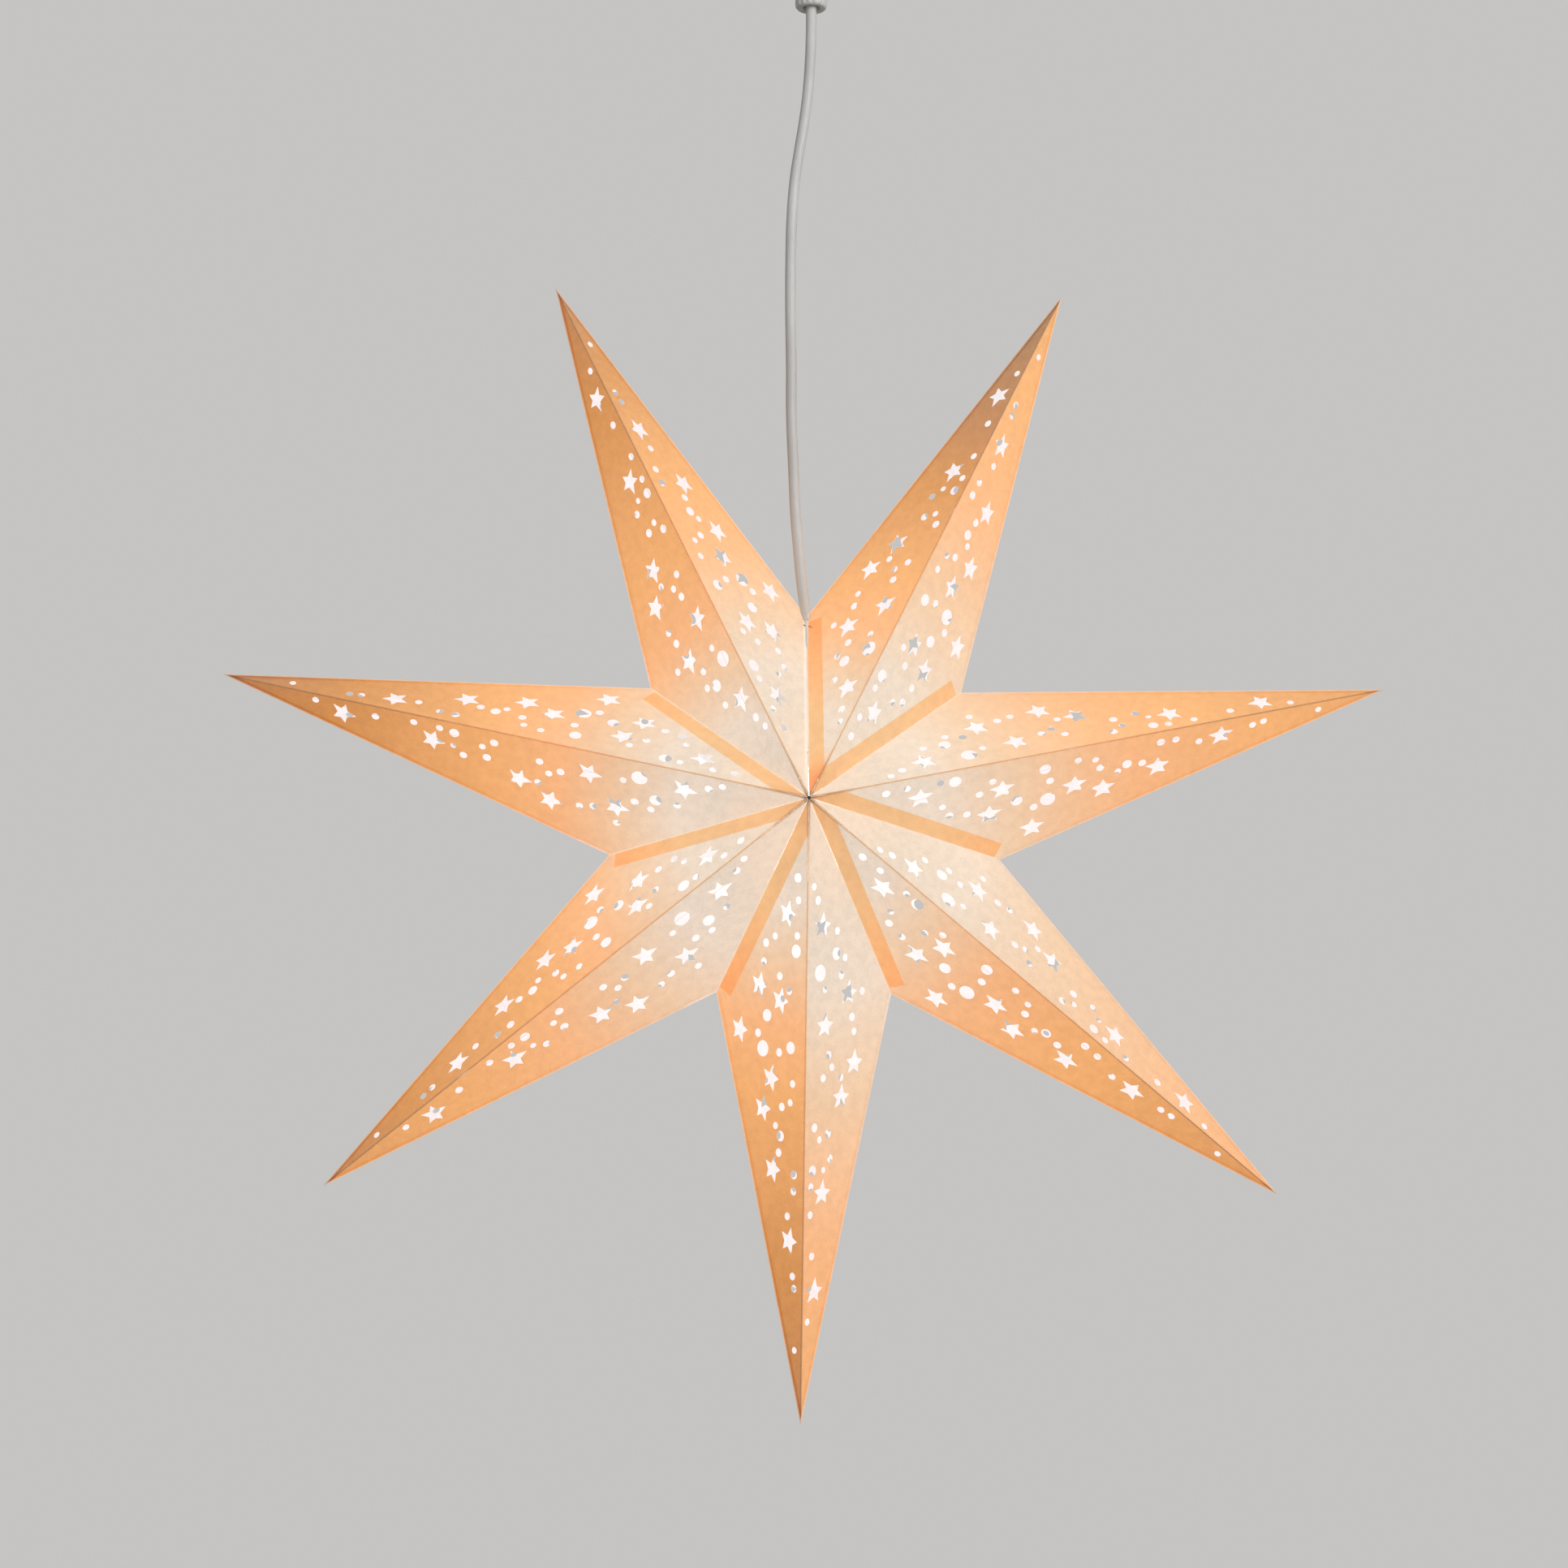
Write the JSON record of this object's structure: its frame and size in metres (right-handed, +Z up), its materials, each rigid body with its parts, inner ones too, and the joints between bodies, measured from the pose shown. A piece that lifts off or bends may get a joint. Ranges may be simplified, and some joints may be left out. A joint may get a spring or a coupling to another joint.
{
  "type": "hanging paper star lantern",
  "caption": "Folding paper star lantern with creased, perforated points, lit from inside and hung by its cord from a ceiling cup.",
  "frame": {"origin": "on the flat top face of the ceiling plate, straight above the star's hub", "axes": "+Z up, out of the face that meets the ceiling; the star's flat plane is XZ and its hub axis is Y, with the front facing -Y; the seam is at the top and one point hangs straight down"},
  "size_m": [0.5652, 0.113, 0.7844],
  "materials": {
    "paper": "thin cream paper, matt, lit from inside",
    "glue_flap": "the same paper where two layers are glued, matt",
    "thread": "waxed thread",
    "plate_steel": "galvanised sheet",
    "wire_steel": "drawn wire",
    "terminal_plastic": "moulded",
    "cup_plastic": "satin",
    "holder_plastic": "satin",
    "cord_jacket": "smooth round cable sheath",
    "opal_glass": "opal",
    "nickel": "nickel-plated"
  },
  "bodies": {
    "ceiling": {"ceiling_plate": "plate_steel", "terminal_block": "terminal_plastic", "ceiling_cup": "cup_plastic", "cord_gland": "cup_plastic"},
    "grip": {"cord_grip": "cup_plastic"},
    "cord": {"cord": "cord_jacket"},
    "lamp": {"lampholder_cap": "holder_plastic", "lampholder_body": "holder_plastic", "wire_hanger": "wire_steel", "hub_thread_front": "thread"},
    "ring": {"shade_ring": "holder_plastic"},
    "bulb": {"bulb_glass": "opal_glass", "bulb_base": "nickel", "bulb_stem": "opal_glass"},
    "point_4_front_left": {"point_4_front_left": "paper"},
    "point_4_front_right": {"point_4_front_right": "paper", "point_5_front_flap": "glue_flap"},
    "point_3_front_right": {"point_3_front_right": "paper", "point_4_front_flap": "glue_flap"},
    "point_3_front_left": {"point_3_front_left": "paper"},
    "point_2_front_right": {"point_2_front_right": "paper", "point_3_front_flap": "glue_flap"},
    "point_2_front_left": {"point_2_front_left": "paper"},
    "point_1_front_right": {"point_1_front_right": "paper", "point_2_front_flap": "glue_flap"},
    "point_1_front_left": {"point_1_front_left": "paper", "point_1_front_flap": "glue_flap"},
    "point_5_front_left": {"point_5_front_left": "paper"},
    "point_5_front_right": {"point_5_front_right": "paper", "point_6_front_flap": "glue_flap"},
    "point_6_front_left": {"point_6_front_left": "paper"},
    "point_6_front_right": {"point_6_front_right": "paper", "point_7_front_flap": "glue_flap"},
    "point_7_front_left": {"point_7_front_left": "paper"},
    "point_7_front_right": {"point_7_front_right": "paper"},
    "point_1_back_left": {"point_1_back_left": "paper", "point_1_back_flap": "glue_flap"},
    "point_1_back_right": {"point_1_back_right": "paper", "point_2_back_flap": "glue_flap"},
    "point_2_back_left": {"point_2_back_left": "paper"},
    "point_2_back_right": {"point_2_back_right": "paper", "point_3_back_flap": "glue_flap"},
    "point_3_back_left": {"point_3_back_left": "paper"},
    "point_3_back_right": {"point_3_back_right": "paper", "point_4_back_flap": "glue_flap"},
    "point_4_back_left": {"point_4_back_left": "paper", "hub_thread_back": "thread"},
    "point_4_back_right": {"point_4_back_right": "paper", "point_5_back_flap": "glue_flap"},
    "point_5_back_left": {"point_5_back_left": "paper"},
    "point_5_back_right": {"point_5_back_right": "paper", "point_6_back_flap": "glue_flap"},
    "point_6_back_left": {"point_6_back_left": "paper"},
    "point_6_back_right": {"point_6_back_right": "paper", "point_7_back_flap": "glue_flap"},
    "point_7_back_left": {"point_7_back_left": "paper"},
    "point_7_back_right": {"point_7_back_right": "paper"}
  },
  "joints": [
    {"name": "swing_forward", "type": "hinge", "parent": "ceiling", "child": "grip", "pos_m": [0, 0, -0.066], "axis": [1, 0, 0], "range_deg": [-8, 8]},
    {"name": "swing_sideways", "type": "hinge", "parent": "grip", "child": "cord", "pos_m": [0, 0, -0.066], "axis": [0, 1, 0], "range_deg": [-8, 8]},
    {"name": "twist", "type": "hinge", "parent": "cord", "child": "lamp", "pos_m": [0, 0, -0.413], "axis": [0, 0, 1], "range_deg": [-180, 180], "stiffness_Nm_per_rad": 0.004},
    {"name": "ring_turn", "type": "hinge", "parent": "lamp", "child": "ring", "pos_m": [0, 0, -0.471], "axis": [0, 0, 1], "range_deg": [0, 720]},
    {"name": "bulb_turn", "type": "hinge", "parent": "lamp", "child": "bulb", "pos_m": [0, 0, -0.46], "axis": [0, 0, 1], "range_deg": [0, 1080]},
    {"name": "fold", "type": "hinge", "parent": "lamp", "child": "point_4_front_left", "pos_m": [0, -0.055, -0.495], "axis": [0, -0.1803, 0.9836], "range_deg": [0, 45.44]},
    {"name": "ridge_4_other", "type": "hinge", "parent": "lamp", "child": "point_4_front_right", "pos_m": [0, -0.055, -0.495], "axis": [0, 0.1803, -0.9836], "range_deg": [0, 45.45]},
    {"name": "valley_3_4", "type": "hinge", "parent": "point_4_front_left", "child": "point_3_front_right", "pos_m": [0, -0.055, -0.495], "axis": [0.3802, 0.4819, -0.7894], "range_deg": [0, 105.99]},
    {"name": "ridge_3", "type": "hinge", "parent": "point_3_front_right", "child": "point_3_front_left", "pos_m": [0, -0.055, -0.495], "axis": [-0.769, -0.1803, 0.6133], "range_deg": [0, 90.89]},
    {"name": "valley_2_3", "type": "hinge", "parent": "point_3_front_left", "child": "point_2_front_right", "pos_m": [0, -0.055, -0.495], "axis": [0.8542, 0.4819, -0.195], "range_deg": [0, 105.99]},
    {"name": "ridge_2", "type": "hinge", "parent": "point_2_front_right", "child": "point_2_front_left", "pos_m": [0, -0.055, -0.495], "axis": [-0.9589, -0.1803, -0.2189], "range_deg": [0, 90.89]},
    {"name": "valley_1_2", "type": "hinge", "parent": "point_2_front_left", "child": "point_1_front_right", "pos_m": [0, -0.055, -0.495], "axis": [0.6851, 0.4819, 0.5463], "range_deg": [0, 105.99]},
    {"name": "ridge_1", "type": "hinge", "parent": "point_1_front_right", "child": "point_1_front_left", "pos_m": [0, -0.055, -0.495], "axis": [-0.4268, -0.1803, -0.8862], "range_deg": [0, 90.89]},
    {"name": "valley_4_5", "type": "hinge", "parent": "point_4_front_right", "child": "point_5_front_left", "pos_m": [0, -0.055, -0.495], "axis": [0.3802, -0.4819, 0.7894], "range_deg": [0, 105.99]},
    {"name": "ridge_5", "type": "hinge", "parent": "point_5_front_left", "child": "point_5_front_right", "pos_m": [0, -0.055, -0.495], "axis": [-0.769, 0.1803, -0.6133], "range_deg": [0, 90.89]},
    {"name": "valley_5_6", "type": "hinge", "parent": "point_5_front_right", "child": "point_6_front_left", "pos_m": [0, -0.055, -0.495], "axis": [0.8542, -0.4819, 0.195], "range_deg": [0, 105.99]},
    {"name": "ridge_6", "type": "hinge", "parent": "point_6_front_left", "child": "point_6_front_right", "pos_m": [0, -0.055, -0.495], "axis": [-0.9589, 0.1803, 0.2189], "range_deg": [0, 90.89]},
    {"name": "valley_6_7", "type": "hinge", "parent": "point_6_front_right", "child": "point_7_front_left", "pos_m": [0, -0.055, -0.495], "axis": [0.6851, -0.4819, -0.5463], "range_deg": [0, 105.99]},
    {"name": "ridge_7", "type": "hinge", "parent": "point_7_front_left", "child": "point_7_front_right", "pos_m": [0, -0.055, -0.495], "axis": [-0.4268, 0.1803, 0.8862], "range_deg": [0, 90.89]},
    {"name": "rim_1_left", "type": "hinge", "parent": "point_1_front_left", "child": "point_1_back_left", "pos_m": [0.13017, 0, -0.22471], "axis": [0.6073, 0, 0.7945], "range_deg": [0, 89.02]},
    {"name": "rim_1_right", "type": "hinge", "parent": "point_1_front_right", "child": "point_1_back_right", "pos_m": [0.13017, 0, -0.22471], "axis": [-0.2425, 0, -0.9701], "range_deg": [0, 89.02]},
    {"name": "rim_2_left", "type": "hinge", "parent": "point_2_front_left", "child": "point_2_back_left", "pos_m": [0.29248, 0, -0.42824], "axis": [0.9998, 0, 0.0206], "range_deg": [0, 89.02]},
    {"name": "rim_2_right", "type": "hinge", "parent": "point_2_front_right", "child": "point_2_back_right", "pos_m": [0.29248, 0, -0.42824], "axis": [-0.9097, 0, -0.4153], "range_deg": [0, 89.02]},
    {"name": "rim_3_left", "type": "hinge", "parent": "point_3_front_left", "child": "point_3_back_left", "pos_m": [0.23455, 0, -0.68205], "axis": [0.6394, 0, -0.7688], "range_deg": [0, 89.02]},
    {"name": "rim_3_right", "type": "hinge", "parent": "point_3_front_right", "child": "point_3_back_right", "pos_m": [0.23455, 0, -0.68205], "axis": [-0.8919, 0, 0.4523], "range_deg": [0, 89.02]},
    {"name": "rim_4_left", "type": "hinge", "parent": "point_4_front_left", "child": "point_4_back_left", "pos_m": [0, 0, -0.795], "axis": [-0.2024, 0, -0.9793], "range_deg": [0, 89.02]},
    {"name": "rim_4_right", "type": "hinge", "parent": "point_4_front_right", "child": "point_4_back_right", "pos_m": [0, 0, -0.795], "axis": [-0.2024, 0, 0.9793], "range_deg": [0, 89.02]},
    {"name": "rim_5_left", "type": "hinge", "parent": "point_5_front_left", "child": "point_5_back_left", "pos_m": [-0.23455, 0, -0.68205], "axis": [-0.8919, 0, -0.4523], "range_deg": [0, 89.02]},
    {"name": "rim_5_right", "type": "hinge", "parent": "point_5_front_right", "child": "point_5_back_right", "pos_m": [-0.23455, 0, -0.68205], "axis": [0.6394, 0, 0.7688], "range_deg": [0, 89.02]},
    {"name": "rim_6_left", "type": "hinge", "parent": "point_6_front_left", "child": "point_6_back_left", "pos_m": [-0.29248, 0, -0.42824], "axis": [-0.9097, 0, 0.4153], "range_deg": [0, 89.02]},
    {"name": "rim_6_right", "type": "hinge", "parent": "point_6_front_right", "child": "point_6_back_right", "pos_m": [-0.29248, 0, -0.42824], "axis": [0.9998, 0, -0.0206], "range_deg": [0, 89.02]},
    {"name": "rim_7_left", "type": "hinge", "parent": "point_7_front_left", "child": "point_7_back_left", "pos_m": [-0.13017, 0, -0.22471], "axis": [-0.2425, 0, 0.9701], "range_deg": [0, 89.02]},
    {"name": "rim_7_right", "type": "hinge", "parent": "point_7_front_right", "child": "point_7_back_right", "pos_m": [-0.13017, 0, -0.22471], "axis": [0.6073, 0, -0.7945], "range_deg": [0, 89.02]}
  ],
  "couplings": [
    {"joint": "ridge_4_other", "follows": "fold", "ratio": 1},
    {"joint": "valley_3_4", "follows": "fold", "ratio": 2.3323},
    {"joint": "ridge_3", "follows": "fold", "ratio": 2},
    {"joint": "valley_2_3", "follows": "fold", "ratio": 2.3323},
    {"joint": "ridge_2", "follows": "fold", "ratio": 2},
    {"joint": "valley_1_2", "follows": "fold", "ratio": 2.3323},
    {"joint": "ridge_1", "follows": "fold", "ratio": 2},
    {"joint": "valley_4_5", "follows": "fold", "ratio": 2.3323},
    {"joint": "ridge_5", "follows": "fold", "ratio": 2},
    {"joint": "valley_5_6", "follows": "fold", "ratio": 2.3323},
    {"joint": "ridge_6", "follows": "fold", "ratio": 2},
    {"joint": "valley_6_7", "follows": "fold", "ratio": 2.3323},
    {"joint": "ridge_7", "follows": "fold", "ratio": 2},
    {"joint": "rim_1_left", "follows": "fold", "ratio": 1.9587},
    {"joint": "rim_1_right", "follows": "fold", "ratio": 1.9587},
    {"joint": "rim_2_left", "follows": "fold", "ratio": 1.9587},
    {"joint": "rim_2_right", "follows": "fold", "ratio": 1.9587},
    {"joint": "rim_3_left", "follows": "fold", "ratio": 1.9587},
    {"joint": "rim_3_right", "follows": "fold", "ratio": 1.9587},
    {"joint": "rim_4_left", "follows": "fold", "ratio": 1.9587},
    {"joint": "rim_4_right", "follows": "fold", "ratio": 1.9587},
    {"joint": "rim_5_left", "follows": "fold", "ratio": 1.9587},
    {"joint": "rim_5_right", "follows": "fold", "ratio": 1.9587},
    {"joint": "rim_6_left", "follows": "fold", "ratio": 1.9587},
    {"joint": "rim_6_right", "follows": "fold", "ratio": 1.9587},
    {"joint": "rim_7_left", "follows": "fold", "ratio": 1.9587},
    {"joint": "rim_7_right", "follows": "fold", "ratio": 1.9587}
  ]
}
